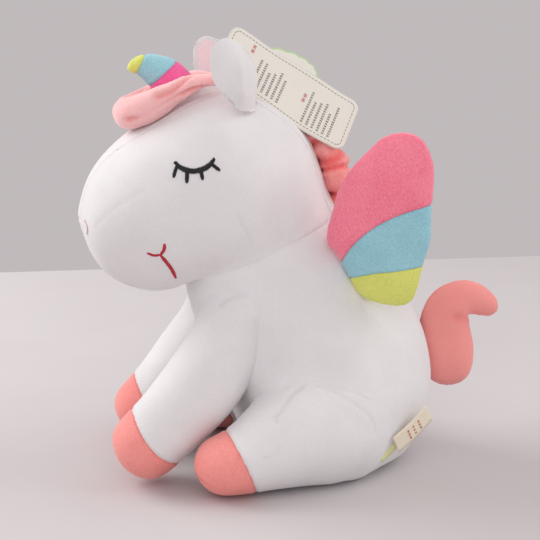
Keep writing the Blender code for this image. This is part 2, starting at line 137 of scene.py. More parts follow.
def plush(name, base, deep, light, sheen=0.35, mottle=0.5, nap=900, seamShade=0.7):
    # short-pile fabric: soft sheen, patches where the nap leans, a fine mottle of fibre tips, and painted
    # shade that darkens the creases
    made = Finish(name, 0.92, Sheen_Weight=sheen, Sheen_Roughness=0.45, Sheen_Tint=light,
                  Specular_IOR_Level=0.2)
    patches = made.grain(38, 3.0, 0.55)
    tips = made.grain(nap, 3.0, 0.65)
    strands = made.grain(nap * 2.6, 2.0, 0.6)
    # the attribute read here is painted shade: it darkens the colour in the seams and creases
    creaseShade = made.node("Attribute", {"attribute_name": "creaseShade"}, output=2)
    tone = (patches - 0.5) * 0.8 + (tips - 0.5) * mottle + 0.3 + creaseShade * seamShade
    tone = made.node("Clamp", Value=tone)
    made.colour(made.blendColour(tone, base, deep))
    made.bump(tips * 0.55 + strands * 0.45, 0.00045, 0.55)
    return made.material


def threadFinish(name, base, deep):
    made = Finish(name, 0.55, Specular_IOR_Level=0.25)
    strands = made.grain(1500, 2.0, 0.6, (1, 1, 0.25))
    made.colour(made.blendColour(strands, base, deep))
    return made.bump(strands, 0.0002, 0.5).material


plushWhite = plush("whitePlush", shade(0.82, 0.815, 0.82), shade(0.69, 0.665, 0.67), shade(1, 0.99, 1),
                   mottle=0.7, seamShade=0.45)
plushCoral = plush("coralPlush", shade(0.94, 0.36, 0.33), shade(0.80, 0.20, 0.18), shade(1, 0.75, 0.72),
                   mottle=1.2)
plushRose = plush("rosePlush", shade(0.95, 0.17, 0.42), shade(0.80, 0.09, 0.28), shade(1, 0.6, 0.8),
                  sheen=0.5, mottle=1.5)
plushTail = plush("tailPlush", shade(0.93, 0.36, 0.335), shade(0.82, 0.235, 0.215), shade(1, 0.8, 0.78))
plushPale = plush("paleCoralPlush", shade(0.96, 0.59, 0.585), shade(0.86, 0.36, 0.35), shade(1, 0.88, 0.88),
                  sheen=0.5, mottle=0.9)
plushMane = plush("manePlush", shade(1.0, 0.47, 0.45), shade(0.86, 0.16, 0.15), shade(1, 0.78, 0.76),
                  sheen=0.45, mottle=0.9)
plushPink = plush("pinkPlush", shade(1.0, 0.29, 0.385), shade(0.86, 0.11, 0.19), shade(1, 0.68, 0.75),
                  sheen=0.9, mottle=1.7)
plushBlue = plush("bluePlush", shade(0.38, 0.68, 0.755), shade(0.20, 0.48, 0.58), shade(0.8, 0.95, 1),
                  sheen=0.45, mottle=1.7)
plushYellow = plush("yellowPlush", shade(0.78, 0.82, 0.21), shade(0.60, 0.62, 0.10), shade(1, 1, 0.7),
                    sheen=0.45, mottle=1.5)
plushLining = plush("liningPlush", shade(0.94, 0.80, 0.83), shade(0.80, 0.56, 0.60), shade(1, 0.9, 0.92))
threadBlack = threadFinish("blackThread", shade(0.012, 0.012, 0.016), shade(0.03, 0.03, 0.035))
threadRed = threadFinish("redThread", shade(0.60, 0.045, 0.075), shade(0.44, 0.025, 0.045))
threadPink = threadFinish("pinkThread", shade(0.85, 0.55, 0.58), shade(0.75, 0.42, 0.46))


# Forms

def readPoints(mesh):
    flat = np.empty(len(mesh.vertices) * 3)
    mesh.vertices.foreach_get("co", flat)
    return flat.reshape(-1, 3) / mm


def readNormals(mesh):
    flat = np.empty(len(mesh.vertices) * 3)
    mesh.vertex_normals.foreach_get("vector", flat)
    return flat.reshape(-1, 3)


def writePoints(mesh, points):
    mesh.vertices.foreach_set("co", (points * mm).ravel())
    mesh.update()


def throughRings(values):
    # control values whose smooth curve passes through the given ones
    control = [value.copy() for value in values]
    for _ in range(12):
        for index in range(1, len(values) - 1):
            reached = (control[index - 1] + control[index] * 4 + control[index + 1]) / 6
            control[index] = control[index] + (values[index] - reached)
    return control


def loft(rings, sidesCount, startTip=None, endTip=None, levels=4):
    # rings are (centre, half axis, half axis) in millimetres; a tip closes that end with a rounded cap
    centres = throughRings([ring[0] for ring in rings])
    firsts = throughRings([ring[1] for ring in rings])
    seconds = throughRings([ring[2] for ring in rings])
    swell = 3 / (2 + math.cos(2 * math.pi / sidesCount))
    bm = bmesh.new()
    loops = []
    for centre, first, second in zip(centres, firsts, seconds):
        across = first.cross(second).normalized()
        place = Matrix((first * swell, second * swell, across)).transposed().to_4x4()
        place.translation = centre
        place = Matrix.Scale(mm, 4) @ place
        made = bmesh.ops.create_circle(bm, segments=sidesCount, radius=1, matrix=place)
        loops.append(made["verts"])
    edgesOf = [list({edge for vert in loop for edge in vert.link_edges}) for loop in loops]
    for before, after in zip(edgesOf, edgesOf[1:]):
        bmesh.ops.bridge_loops(bm, edges=before + after)
    for tip, loop in ((startTip, edgesOf[0]), (endTip, edgesOf[-1])):
        if tip is not None:
            face = bmesh.ops.contextual_create(bm, geom=loop)["faces"]
            centre = bmesh.ops.poke(bm, faces=face)["verts"][0]
            centre.co = tip * mm
    bmesh.ops.recalc_face_normals(bm, faces=bm.faces)
    return subdivided(bm, levels)


def meshFrom(bm, name="form"):
    mesh = bpy.data.meshes.new(name)
    bm.to_mesh(mesh)
    bm.free()
    return mesh


def subdivided(bm, levels):
    cage = bpy.data.objects.new("cage", meshFrom(bm))
    bpy.context.scene.collection.objects.link(cage)
    smooth = cage.modifiers.new("Smooth", "SUBSURF")
    smooth.levels = levels
    smooth.render_levels = levels
    graph = bpy.context.evaluated_depsgraph_get()
    made = bpy.data.meshes.new_from_object(cage.evaluated_get(graph))
    bpy.data.objects.remove(cage)
    return made


def profileRings(stations):
    rings = []
    for low, high, halfWidth in stations:
        low = Vector((0, *low))
        high = Vector((0, *high))
        rings.append(((low + high) / 2, (high - low) / 2, xAxis * halfWidth))
    return rings


def pathRings(points, widths, across):
    rings = []
    for index, point in enumerate(points):
        along = (points[min(index + 1, len(points) - 1)] - points[max(index - 1, 0)]).normalized()
        first = (across - along * across.dot(along)).normalized()
        rings.append((point, first * widths[index][0], along.cross(first) * widths[index][1]))
    return rings


def nearPath(points, path):
    # distance from each point to a line through the path's points, and how far along it the nearest place is
    best = np.full(len(points), 1e9)
    travel = np.zeros(len(points))
    run = 0.0
    for start, end in zip(path, path[1:]):
        start = np.array(start, float)
        way = np.array(end, float) - start
        length = max(np.linalg.norm(way), 1e-6)
        share = np.clip((points - start) @ way / length ** 2, 0, 1)
        gap = np.linalg.norm(points - start - share[:, None] * way, axis=1)
        closer = gap < best
        best[closer] = gap[closer]
        travel[closer] = run + share[closer] * length
        run += length
    return best, travel


def smoothPath(points, steps=8):
    # a rounded line through a few points
    points = [Vector(p) for p in points]
    ends = [points[0] * 2 - points[1], *points, points[-1] * 2 - points[-2]]
    made = []
    for a, b, c, d in zip(ends, ends[1:], ends[2:], ends[3:]):
        for step in range(steps):
            t = step / steps
            made.append((b * 2 + (c - a) * t + (a * 2 - b * 5 + c * 4 - d) * t ** 2
                         + (b * 3 - a - c * 3 + d) * t ** 3) / 2)
    made.append(points[-1])
    return made


def lumps(points, size, seed):
    # gentle unevenness of hand-filled fabric, from -1 to 1
    shift = Vector((seed * 7.3, seed * 3.1, seed * 5.7))
    return np.array([noise.noise(Vector(p) / size + shift) for p in points])


def tucked(mesh, seams, lump=0.0, lumpSize=28, seed=1):
    # draws the fabric in along its seams, with small puckers, and gives the filling its unevenness; it also
    # stores painted shade for the seam valleys, which the plush colour reads
    points = readPoints(mesh)
    normals = readNormals(mesh)
    push = np.zeros(len(points))
    creaseShade = np.zeros(len(points))
    for gap, travel, width, depth, pucker in seams(points):
        valley = np.exp(-(gap / width) ** 2)
        push -= depth * valley
        shoulder = np.exp(-((gap - width * 1.6) / (width * 1.1)) ** 2)
        push += pucker * shoulder * (0.5 + 0.5 * np.sin(travel * 1.25 + 2.2 * np.sin(travel * 0.31)))
        # painted shade for the colour, strongest in the deepest seam valleys
        creaseShade = np.maximum(creaseShade, valley * min(1.0, depth))
    if lump:
        push += lump * lumps(points, lumpSize, seed)
    writePoints(mesh, points + normals * push[:, None])
    layer = mesh.attributes.get("creaseShade") or mesh.attributes.new("creaseShade", "FLOAT", "POINT")
    layer.data.foreach_set("value", creaseShade.astype(np.float32))
    return mesh


def cutAt(mesh, point, normal, bend=None):
    # lines of edges along and beside a panel's edge; bend gives the line its curve
    bm = bmesh.new()
    bm.from_mesh(mesh)
    normal = normal.normalized()
    if bend:
        for vert in bm.verts:
            vert.co += normal * (bend(vert.co / mm) * mm)
    for offset in (-1.6, -0.7, 0, 0.7, 1.6):
        everything = bm.verts[:] + bm.edges[:] + bm.faces[:]
        bmesh.ops.bisect_plane(bm, geom=everything, dist=1e-7, plane_co=(point + normal * offset) * mm,
                               plane_no=normal)
    if bend:
        for vert in bm.verts:
            vert.co -= normal * (bend(vert.co / mm) * mm)
    bm.to_mesh(mesh)
    bm.free()
    return mesh


def pastCut(points, cut):
    # how far each point is beyond a curved cut, given as (point, normal, bend)
    point, normal, bend = cut
    normal = normal.normalized()
    flat = (points - np.array(point)) @ np.array(normal)
    if bend:
        flat = flat + np.array([bend(Vector(p)) for p in points])
    return flat


def ease(values):
    values = np.clip(values, 0, 1)
    return values * values * (3 - 2 * values)


def treeOf(mesh):
    bm = bmesh.new()
    bm.from_mesh(mesh)
    tree = BVHTree.FromBMesh(bm)
    bm.free()
    return tree


def softJoin(first, second, reach):
    # two stuffed forms run into each other over a rounded hollow; reach is its size at each place
    moved = []
    for form, other in ((first, treeOf(second)), (second, treeOf(first))):
        points = readPoints(form)
        size = reach(points)
        gaps = np.array([other.find_nearest(Vector(p) * mm)[3] for p in points]) / mm
        lift = np.maximum(size - gaps, 0) ** 2 / (4 * size)
        moved.append((form, points + readNormals(form) * lift[:, None]))
    for form, points in moved:
        writePoints(form, points)


def sideSpot(tree, side, y, z):
    # the place on a form's outer side at a given depth and height, with its normal
    start = Vector((side * 0.2, y * mm, z * mm))
    hit, normal, _, _ = tree.ray_cast(start, Vector((-side, 0, 0)))
    if hit is None:
        hit, normal, _, _ = tree.find_nearest(start)
    return hit / mm, normal


def sideLine(tree, side, line):
    return smoothPath([sideSpot(tree, side, y, z)[0] for y, z in line], steps=4)


def faceCentres(mesh):
    flat = np.empty(len(mesh.polygons) * 3)
    mesh.polygons.foreach_get("center", flat)
    return flat.reshape(-1, 3) / mm


def keptFaces(mesh, keep):
    bm = bmesh.new()
    bm.from_mesh(mesh)
    bm.faces.ensure_lookup_table()
    gone = [face for face, stays in zip(bm.faces, keep) if not stays]
    bmesh.ops.delete(bm, geom=gone, context="FACES")
    made = mesh.copy()
    bm.to_mesh(made)
    bm.free()
    return made


def addPiece(name, mesh, finish, body, nodes, fabric=None, slot=None):
    # puts a finished mesh in the scene; fabric gives an open panel its thickness, inwards
    mesh.name = name
    mesh.materials.clear()
    mesh.materials.append(finish)
    mesh.shade_smooth()
    piece = bpy.data.objects.new(name, mesh)
    bpy.context.scene.collection.objects.link(piece)
    if fabric:
        wall = piece.modifiers.new("Fabric", "SOLIDIFY")
        wall.thickness = fabric * mm
        wall.offset = -1
    if body:
        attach(piece, body)
    if nodes:
        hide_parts(*nodes)
    return piece


# Camera, floor and light

def makeStage():
    view = {"azimuth": 81, "elevation": 11.5, "distance": 730, "aim": (0, -30, 117), "lens": 81.07}
    turn = math.radians(view["azimuth"])
    rise = math.radians(view["elevation"])
    back = Vector((math.sin(turn) * math.cos(rise), -math.cos(turn) * math.cos(rise), math.sin(rise)))
    lens = bpy.data.cameras.new("camera")
    lens.lens = view["lens"]
    camera = bpy.data.objects.new("camera", lens)
    camera.location = (Vector(view["aim"]) + back * view["distance"]) * mm
    camera.rotation_mode = "QUATERNION"
    camera.rotation_quaternion = (-back).to_track_quat("-Z", "Y")
    bpy.context.scene.collection.objects.link(camera)
    bpy.context.scene.camera = camera
    floorFinish = Finish("floorCloth", 0.9)
    weave = floorFinish.grain(9, 4.0)
    floorFinish.colour(floorFinish.blendColour(weave, shade(0.61, 0.585, 0.59), shade(0.56, 0.53, 0.535)))
    bm = bmesh.new()
    bmesh.ops.create_grid(bm, x_segments=2, y_segments=2, size=3)
    bmesh.ops.translate(bm, verts=bm.verts, vec=(2.4, 0, 0))
    floor = bpy.data.objects.new("floor", meshFrom(bm))
    floor.data.materials.append(floorFinish.material)
    bpy.context.scene.collection.objects.link(floor)
    lights = {
        "window": ((-0.6, -1.05, 0.9), 1.0, 14.5, (1, 0.99, 0.98)),
        "roomFill": ((1.3, -0.3, 0.8), 1.5, 7.4, (1, 0.98, 0.98)),
        "backFill": ((0.1, 1.15, 0.95), 1.1, 8, (1, 0.98, 0.97)),
    }
    for name, (place, size, power, tint) in lights.items():
        lamp = bpy.data.lights.new(name, "AREA")
        lamp.size = size
        lamp.energy = power
        lamp.color = tint
        lampObject = bpy.data.objects.new(name, lamp)
        lampObject.location = place
        lampObject.rotation_mode = "QUATERNION"
        lampObject.rotation_quaternion = (Vector((0, -0.02, 0.11)) - Vector(place)).to_track_quat("-Z", "Y")
        bpy.context.scene.collection.objects.link(lampObject)
    world = bpy.data.worlds.new("paleRoom")
    world.use_nodes = True
    sky = world.node_tree.nodes["Background"]
    sky.inputs["Color"].default_value = shade(0.94, 0.875, 0.89)
    sky.inputs["Strength"].default_value = 0.56
    bpy.context.scene.world = world
    bpy.context.scene.view_settings.view_transform = "Standard"
    bpy.context.scene.view_settings.look = "None"


makeStage()
print("camera, floor and lights set")


# The white forms: head, body and legs, as smooth closed shapes that run into each other

headShape = {
    "stations": (
        ((-140, 141), (-140.5, 165), 17),
        ((-135, 129), (-134, 179), 33),
        ((-126, 118), (-121, 194), 45),
        ((-113, 111), (-104, 207), 53),
        ((-100, 108), (-84, 220), 57),
        ((-90, 109), (-56, 229), 58),
        ((-86, 110.5), (-31, 219), 56.5),
        ((-83, 112), (-11, 202), 54),
        ((-81, 114), (-1, 180), 50.5),
        ((-80, 115.5), (6, 158), 46.5),
        ((-77, 117.5), (2.5, 155), 43),
        ((-70, 121), (-5, 153), 36),
    ),
    "nose": Vector((0, -144, 153)),
    "gussetHalfWidth": 24,
    "splitHeight": 152,
    "dart": ((-57, 160.5), (-52.5, 151), (-48.5, 144)),
    "line": ((-133, 152), (-122, 164), (-108, 173)),
}
bodyShape = {
    "stations": (
        ((-22, 0), (38, 0), 34),
        ((-36, 4.5), (54, 6), 47),
        ((-48, 20), (63.5, 22), 57),
        ((-57, 40), (68.5, 44), 61),
        ((-65, 60), (67.5, 64), 61),
        ((-72, 80), (60, 88), 57),
        ((-77, 95), (41, 117), 53.5),
        ((-80, 107), (19, 140), 49),
        ((-79.5, 113.5), (5, 153.5), 46),
    ),
    "dome": ((31, 38), (42, 25)),
    "neckCentre": Vector((0, -30, 117)),
    "neckUp": Vector((0, -0.41, 0.91)).normalized(),
    "shoulderCrease": ((-46, 98), (-45, 89), (-45.5, 78), (-49.5, 67.5), (-56, 57)),
    "chestFold": ((-66, 107), (-60, 111), (-54, 112.5)),
    "backDart": ((14.5, 106), (20, 99), (26.5, 91.5)),
}
frontLegShape = {
    # centre (x, y, z) and radius, then the tip
    "stations": ((30, -46, 108, 13), (32, -52.5, 99, 17.3), (33, -58.5, 87.5, 19.3),
                 (33.5, -69.8, 65.5, 22.8), (34, -86.6, 44.5, 22.3), (34, -100.5, 30, 21),
                 (34, -109.5, 21.8, 20.3), (34, -115.5, 16.6, 17.2), (34, -119.6, 13, 11.4)),
    "tip": Vector((34, -122.5, 10.6)),
    "seam": Vector((34, -105.5, 26.5)),
    "shoulder": {"left": Vector((33, -55, 84)), "right": Vector((-33, -53, 84))},
}
hindLegShape = {
    "stations": ((62, -79.5, 14.5, 11, 10), (61, -72, 16.8, 17.5, 15.4), (59.5, -60, 18.8, 20.5, 18.5),
                 (57, -45, 23.5, 23.5, 23.3), (53, -28, 29.9, 26.5, 29.6), (49.5, -10, 32, 27.5, 31.8),
                 (46.5, 4, 31, 26.5, 30.8), (44, 16, 29, 23, 27), (42.5, 24, 27, 17, 21)),
    "seam": Vector((60, -57, 17.5)),
    "sole": ((62, -83, 14), (72, -77.5, 11), (78.5, -69, 6), (80, -61, 2)),
    "thighSeam": ((-57, 49), (-45.5, 58), (-30, 62), (-17, 63.5), (-4.5, 59.5), (8, 52), (17, 43.5),
                  (20, 34)),
    "thighDart": ((-21.5, 62), (-28.5, 58), (-34.5, 51.5), (-38.5, 48)),
}


def makeForms():
    forms = {"head": loft(profileRings(headShape["stations"]), 14, startTip=headShape["nose"])}
    rings = profileRings(bodyShape["stations"])
    up = bodyShape["neckUp"]
    for rise, radius in bodyShape["dome"]:
        rings.append((bodyShape["neckCentre"] + up * rise, up.cross(xAxis) * radius, xAxis * radius))
    forms["body"] = loft(rings, 14, startTip=Vector((0, 8, -1)), endTip=bodyShape["neckCentre"] + up * 49)
    for word, side in sides:
        mirror = Vector((side, 1, 1))
        slack = Vector((0, 0 if side > 0 else 5, 0))
        stations = frontLegShape["stations"]
        points = []
        for index, station in enumerate(stations):
            points.append(Vector(station[:3]) * mirror + slack * (index / len(stations)))
        rings = pathRings(points, [(s[3], s[3]) for s in stations], xAxis)
        forms["frontLeg", word] = loft(rings, 12, startTip=Vector((27 * side, -40, 113)),
                                       endTip=frontLegShape["tip"] * mirror + slack)
        stations = hindLegShape["stations"]
        points = [Vector(s[:3]) * mirror for s in stations]
        rings = pathRings(points, [(s[3], s[4]) for s in stations], xAxis)
        forms["hindLeg", word] = loft(rings, 12, startTip=Vector((side * 62.5, -83.5, 14.5)),
                                      endTip=Vector((side * 41.5, 30, 26)))
    return forms


def joinForms(forms):
    def neckReach(points):
        return 5 + 9 * ease((points[:, 1] + 25) / 30)

    def shoulderReach(points):
        # open towards the front and top of the shoulder, a tight crease behind and below it
        return 3 + 17 * ease(((points[:, 2] - 84) * 0.75 - (points[:, 1] + 55) * 0.75 + 4) / 18)

    def thighReach(points):
        return 5 + 7 * ease((points[:, 2] - 35) / 20) + 12 * ease((points[:, 1] + 5) / 22)

    for word, _ in sides:
        softJoin(forms["body"], forms["frontLeg", word], shoulderReach)
        softJoin(forms["body"], forms["hindLeg", word], thighReach)
    softJoin(forms["body"], forms["head"], neckReach)
    for key, form in forms.items():
        if key != "head":
            points = readPoints(form)
            # fabric that rests on the ground is pressed flat
            points[:, 2] = np.where(points[:, 2] < 1.2, 0.3 + 0.12 * np.maximum(points[:, 2] + 2, 0),
                                    points[:, 2])
            points[:, 2] = np.maximum(points[:, 2], 0.3)
            writePoints(form, points)


def makeHead(form):
    half = headShape["gussetHalfWidth"]
    split = headShape["splitHeight"]
    tree = treeOf(form)

    def narrowing(place):
        # the gusset runs to a narrow end over the nose
        return 13 * float(ease((-place.y - 92) / 50))

    cuts = {side: (xAxis * half * side, xAxis * side, narrowing) for side in (1, -1)}
    for cut in cuts.values():
        cutAt(form, *cut)
    cutAt(form, Vector((0, 0, split)), Vector((0, 0, 1)))

    def seams(points):
        for side, cut in cuts.items():
            gap = np.abs(pastCut(points, cut))
            yield gap, points[:, 1] + points[:, 2], 1.0, 0.4, 0.08
            gap, travel = nearPath(points, sideLine(tree, side, headShape["dart"]))
            yield gap, travel, 1.0, 0.45, 0.0
            gap, travel = nearPath(points, sideLine(tree, side, headShape["line"]))
            yield gap, travel, 1.8, 0.25, 0.0
        low = np.where(np.abs(points[:, 0]) < 12, np.abs(points[:, 2] - split), 99)
        yield low, points[:, 0], 1.0, 0.3, 0.05

    tucked(form, seams, lump=0.45, lumpSize=30, seed=3)
    centres = faceCentres(form)
    inside = (pastCut(centres, cuts[1]) < 0) & (pastCut(centres, cuts[-1]) < 0)
    panels = {
        "headSideLeft": (pastCut(centres, cuts[1]) > 0, "head_side_left"),
        "headSideRight": (pastCut(centres, cuts[-1]) > 0, "head_side_right"),
        "headGusset": (inside & (centres[:, 2] > split), "head_gusset"),
        "chinGusset": (inside & (centres[:, 2] < split), "chin_gusset"),
    }
    for name, (keep, node) in panels.items():
        nodes = [node, "head_stuffing"] if node == "head_gusset" else [node]
        addPiece(name, keptFaces(form, keep), plushWhite, "head", nodes, fabric=0.9,
                 slot="white_plush")


def makeBody(form):
    tree = treeOf(form)
    cutAt(form, Vector((0, 0, 0)), xAxis)
    cutAt(form, Vector((0, 0, 2.2)), Vector((0, 0, 1)))

    def seams(points):
        yield np.abs(points[:, 0]), points[:, 2], 1.1, 0.5, 0.12
        yield np.abs(points[:, 2] - 2.2), np.arctan2(points[:, 1], points[:, 0]) * 45, 1.1, 0.4, 0.15
        for side in (1, -1):
            for key, width, depth in (("chestFold", 1.7, 0.55), ("backDart", 1.2, 0.4)):
                gap, travel = nearPath(points, sideLine(tree, side, bodyShape[key]))
                yield gap, travel, width, depth, 0.0

    tucked(form, seams, lump=0.7, lumpSize=34, seed=7)
    centres = faceCentres(form)
    seat = centres[:, 2] < 2.2
    panels = {
        "bodySideLeft": ((centres[:, 0] > 0) & ~seat, ["body_side_left", "body_stuffing"]),
        "bodySideRight": ((centres[:, 0] < 0) & ~seat, ["body_side_right"]),
        "seatPanel": (seat, ["seat_panel"]),
    }
    for name, (keep, nodes) in panels.items():
        addPiece(name, keptFaces(form, keep), plushWhite, "torso", nodes, fabric=0.9,
                 slot="white_plush")


def makeFrontLegs(forms):
    for word, side in sides:
        form = forms["frontLeg", word]
        tree = treeOf(form)
        seamPoint = frontLegShape["seam"] * Vector((side, 1, 1)) + Vector((0, 0 if side > 0 else 5, 0))
        tilt = Vector((0, -0.74, -0.67)).normalized()
        flow = tilt.cross(xAxis)

        def bend(place, seamPoint=seamPoint, flow=flow):
            # the seam runs further up the leg in front and behind than at the sides
            return 0.009 * (place - seamPoint).dot(flow) ** 2 + 0.05 * (place - seamPoint).dot(flow)

        cut = (seamPoint, tilt, bend)
        cutAt(form, *cut)

        def seams(points):
            around = np.arctan2(points[:, 0] - seamPoint.x, points[:, 2] - seamPoint.z) * 20
            yield np.abs(pastCut(points, cut)), around, 1.1, 0.6, 0.18
            line = [(side * 50, y, z) for y, z in bodyShape["shoulderCrease"]]
            gap, travel = nearPath(points, smoothPath(line))
            yield gap, travel, 1.6, 0.4, 0.0
            gap, travel = nearPath(points, sideLine(tree, side, bodyShape["chestFold"]))
            yield gap, travel, 1.5, 0.7, 0.0

        tucked(form, seams, lump=0.5, lumpSize=18, seed=9 + side)
        isHoof = pastCut(faceCentres(form), cut) > 0
        name = word.capitalize()
        body = "front_leg_" + word
        leg = addPiece("frontLeg" + name, keptFaces(form, ~isHoof), plushWhite, None,
                       [body, "front_leg_stuffing_" + word], fabric=0.9, slot="white_plush")
        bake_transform(leg)
        addPiece("frontHoof" + name, keptFaces(form, isHoof), plushCoral, body, ["front_hoof_" + word],
                 fabric=0.9, slot="coral_plush")


def makeHindLegs(forms):
    for word, side in sides:
        form = forms["hindLeg", word]
        tree = treeOf(form)
        seamPoint = hindLegShape["seam"] * Vector((side, 1, 1)) + Vector((0, 0 if side > 0 else 6, 0))
        tilt = Vector((side * 0.1, -0.92, -0.4)).normalized()

        def bend(place, seamPoint=seamPoint, tilt=tilt):
            offset = place - seamPoint
            offset = offset - tilt * offset.dot(tilt)
            return 0.004 * offset.length_squared

        cut = (seamPoint, tilt, bend)
        cutAt(form, *cut)

        def seams(points):
            around = np.arctan2(points[:, 0] - seamPoint.x, points[:, 2] - seamPoint.z) * 20
            yield np.abs(pastCut(points, cut)), around, 1.1, 0.6, 0.18
            gap, travel = nearPath(points, smoothPath([(side * x, y, z) for x, y, z in hindLegShape["sole"]]))
            yield gap, travel, 1.2, 0.9, 0.2
            for key, width, depth in (("thighSeam", 1.0, 0.4), ("thighDart", 1.3, 0.85)):
                gap, travel = nearPath(points, sideLine(tree, side, hindLegShape[key]))
                yield gap, travel, width, depth, 0.0
            spot = sideSpot(tree, side, -38, 46.5)[0]
            gap, travel = nearPath(points, [spot, spot + xAxis * 0.1])
            yield gap, travel, 1.0, 0.9, 0.0

        tucked(form, seams, lump=0.5, lumpSize=24, seed=13 + side)
        isHoof = pastCut(faceCentres(form), cut) > 0
        name = word.capitalize()
        addPiece("hindLeg" + name, keptFaces(form, ~isHoof), plushWhite, "torso",
                 ["hind_leg_" + word, "hind_leg_stuffing_" + word], fabric=0.9, slot="white_plush")
        addPiece("hindHoof" + name, keptFaces(form, isHoof), plushCoral, "torso", ["hind_hoof_" + word],
                 fabric=0.9, slot="coral_plush")


forms = makeForms()
joinForms(forms)
headTree = treeOf(forms["head"])
makeHead(forms["head"])
makeBody(forms["body"])
makeFrontLegs(forms)
makeHindLegs(forms)
print("head, body and legs made")


def onHead(side, y, z, lift=0.0):
    hit, normal = sideSpot(headTree, side, y, z)
    return hit + normal * lift, normal


# Embroidery: a satin line is a row of short threads laid across its path

def satin(name, side, strokes, finish, node, slot):
    bm = bmesh.new()
    dice = random.Random(5)
    for path, width in strokes:
        line = smoothPath([Vector((0, *point)) for point in path], steps=6)
        lengths = [0.0]
        for before, after in zip(line, line[1:]):
            lengths.append(lengths[-1] + (after - before).length)
        count = max(4, int(lengths[-1] / 0.42))
        for number in range(count + 1):
            travel = lengths[-1] * number / count
            index = max(i for i, run in enumerate(lengths[:-1]) if run <= travel + 1e-9)
            share = (travel - lengths[index]) / (lengths[index + 1] - lengths[index])
            spot = line[index].lerp(line[index + 1], share)
            taper = min(1.0, 0.55 + 2.2 * min(number, count - number) / count)
            place, normal = onHead(side, spot.y, spot.z, 0.25)
            ahead = line[index + 1] - line[index]
            flow = Vector((0, ahead.y, ahead.z)).normalized()
            across = normal.cross(flow).normalized()
            across = (across + flow * dice.uniform(0.10, 0.35)).normalized()
            long = normal.cross(across)
            size = width * taper * dice.uniform(0.92, 1.08)
            turn = Matrix((across * size / 2, long * 0.34, normal * 0.42)).transposed().to_4x4()
            turn.translation = place
            bmesh.ops.create_uvsphere(bm, u_segments=6, v_segments=5, radius=1,
                                      matrix=Matrix.Scale(mm, 4) @ turn)
    bmesh.ops.recalc_face_normals(bm, faces=bm.faces)
    addPiece(name, meshFrom(bm), finish, "head", [node], slot=slot)


def makeFace():
    lid = [(-90, 188.6), (-86.8, 185.6), (-81, 184), (-74.8, 185.3), (-71.3, 187.6), (-69, 190.4)]
    strokes = [
        (lid, 3.7),
        ([(-88.6, 187.2), (-89.9, 184.6), (-91.2, 180.8)], 2.5),
        ([(-83.8, 184.4), (-84, 181.4), (-84.4, 178)], 2.7),
        ([(-76.8, 184.6), (-76.2, 182.4), (-75.8, 179.6)], 2.6),
        ([(-71.2, 188), (-69, 186.4), (-66.4, 184.2)], 2.5),
    ]
    mouth = [
        ([(-105.8, 139), (-102.4, 137.6), (-98.9, 137.9)], 2.2),
        ([(-96.6, 144.3), (-96.9, 141), (-98.8, 137.9)], 2.3),
        ([(-98.8, 137.9), (-95.6, 133.4), (-92.4, 128.4), (-89.6, 122)], 2.7),
    ]
    for word, side in sides:
        name = word.capitalize()
        satin("eye" + name, side, strokes, threadBlack, "eye_" + word, "black_thread")
        satin("mouth" + name, side, mouth, threadRed, "mouth_" + word, "red_thread")
        nostril = [([(-138.8, 153.5), (-137.6, 150), (-137.8, 146)], 1.1)]
        satin("nostril" + name, side, nostril, threadPink, "nostril_" + word, "pink_thread")


makeFace()
print("face stitched")


# Horn and hair

hornShape = {
    "stations": ((0, -82, 217, 12.5), (0, -85, 224, 12.6), (0, -88.4, 229.4, 11.9), (0, -92.8, 233.6, 10.5),
                 (0, -99, 237, 8.3), (0, -105.4, 238.6, 5.7), (0, -110.2, 238, 3.5)),
    "tip": Vector((0, -113.2, 236.2)),
    "cuts": ((Vector((0, -92.3, 233.8)), Vector((0, -0.67, 0.74)), None),
             (Vector((0, -105.2, 238.6)), Vector((0, -0.9, 0.43)), None)),
}


def makeHorn():
    stations = hornShape["stations"]
    rings = pathRings([Vector(s[:3]) for s in stations], [(s[3], s[3]) for s in stations], xAxis)
    form = loft(rings, 10, startTip=Vector((0, -80, 212)), endTip=hornShape["tip"], levels=4)
    for cut in hornShape["cuts"]:
        cutAt(form, *cut)

    def seams(points):
        for cut in hornShape["cuts"]:
            around = np.arctan2(points[:, 0], points[:, 2] - 232) * 9
            yield np.abs(pastCut(points, cut)), around, 0.9, 0.5, 0.15
        under = np.where(points[:, 1] < -94, np.where(points[:, 2] < 236, np.abs(points[:, 0]), 99), 99)
        yield under, points[:, 1], 0.9, 0.3, 0.15

    tucked(form, seams, lump=0.4, lumpSize=9, seed=8)
    centres = faceCentres(form)
    along = [pastCut(centres, cut) for cut in hornShape["cuts"]]
    bands = (
        ("hornBaseBand", along[0] < 0, plushRose, ["horn_base_band", "horn_stuffing"], "pink_plush"),
        ("hornMiddleBand", (along[0] > 0) & (along[1] < 0), plushBlue, ["horn_middle_band"], "blue_plush"),
        ("hornTipBand", along[1] > 0, plushYellow, ["horn_tip_band"], "yellow_plush"),
    )
    for name, keep, finish, nodes, slot in bands:
        addPiece(name, keptFaces(form, keep), finish, "head", nodes, fabric=0.6, slot=slot)


forelockShape = {
    # half of the roll, from crown to brow: place, then half its height and half its width
    "stations": ((24, -60, 230.5, 3, 5), (23.5, -67, 231, 3.6, 6), (23.5, -75, 229.8, 4.4, 7),
                 (23, -82.5, 227.2, 5.6, 7.8), (22, -90, 223.3, 6.8, 8.3), (20.5, -97, 218.8, 8, 8.8),
                 (17.5, -104, 214.8, 8.6, 9), (11.5, -110, 212.8, 9, 9), (4, -112.2, 212.4, 9.2, 9)),
    "creases": (
        ((27, -71, 228.5), (29.5, -80, 224.8), (31, -88, 221), (31, -95, 217), (30, -101, 213.2),
         (27, -107, 210.3), (20, -114, 209)),
        ((26, -78, 236), (29, -84, 230.5), (30.5, -90, 225.5), (29, -97, 222.5)),
        ((16, -104, 224), (8, -112, 221.5), (0, -113, 221.5)),
    ),
}


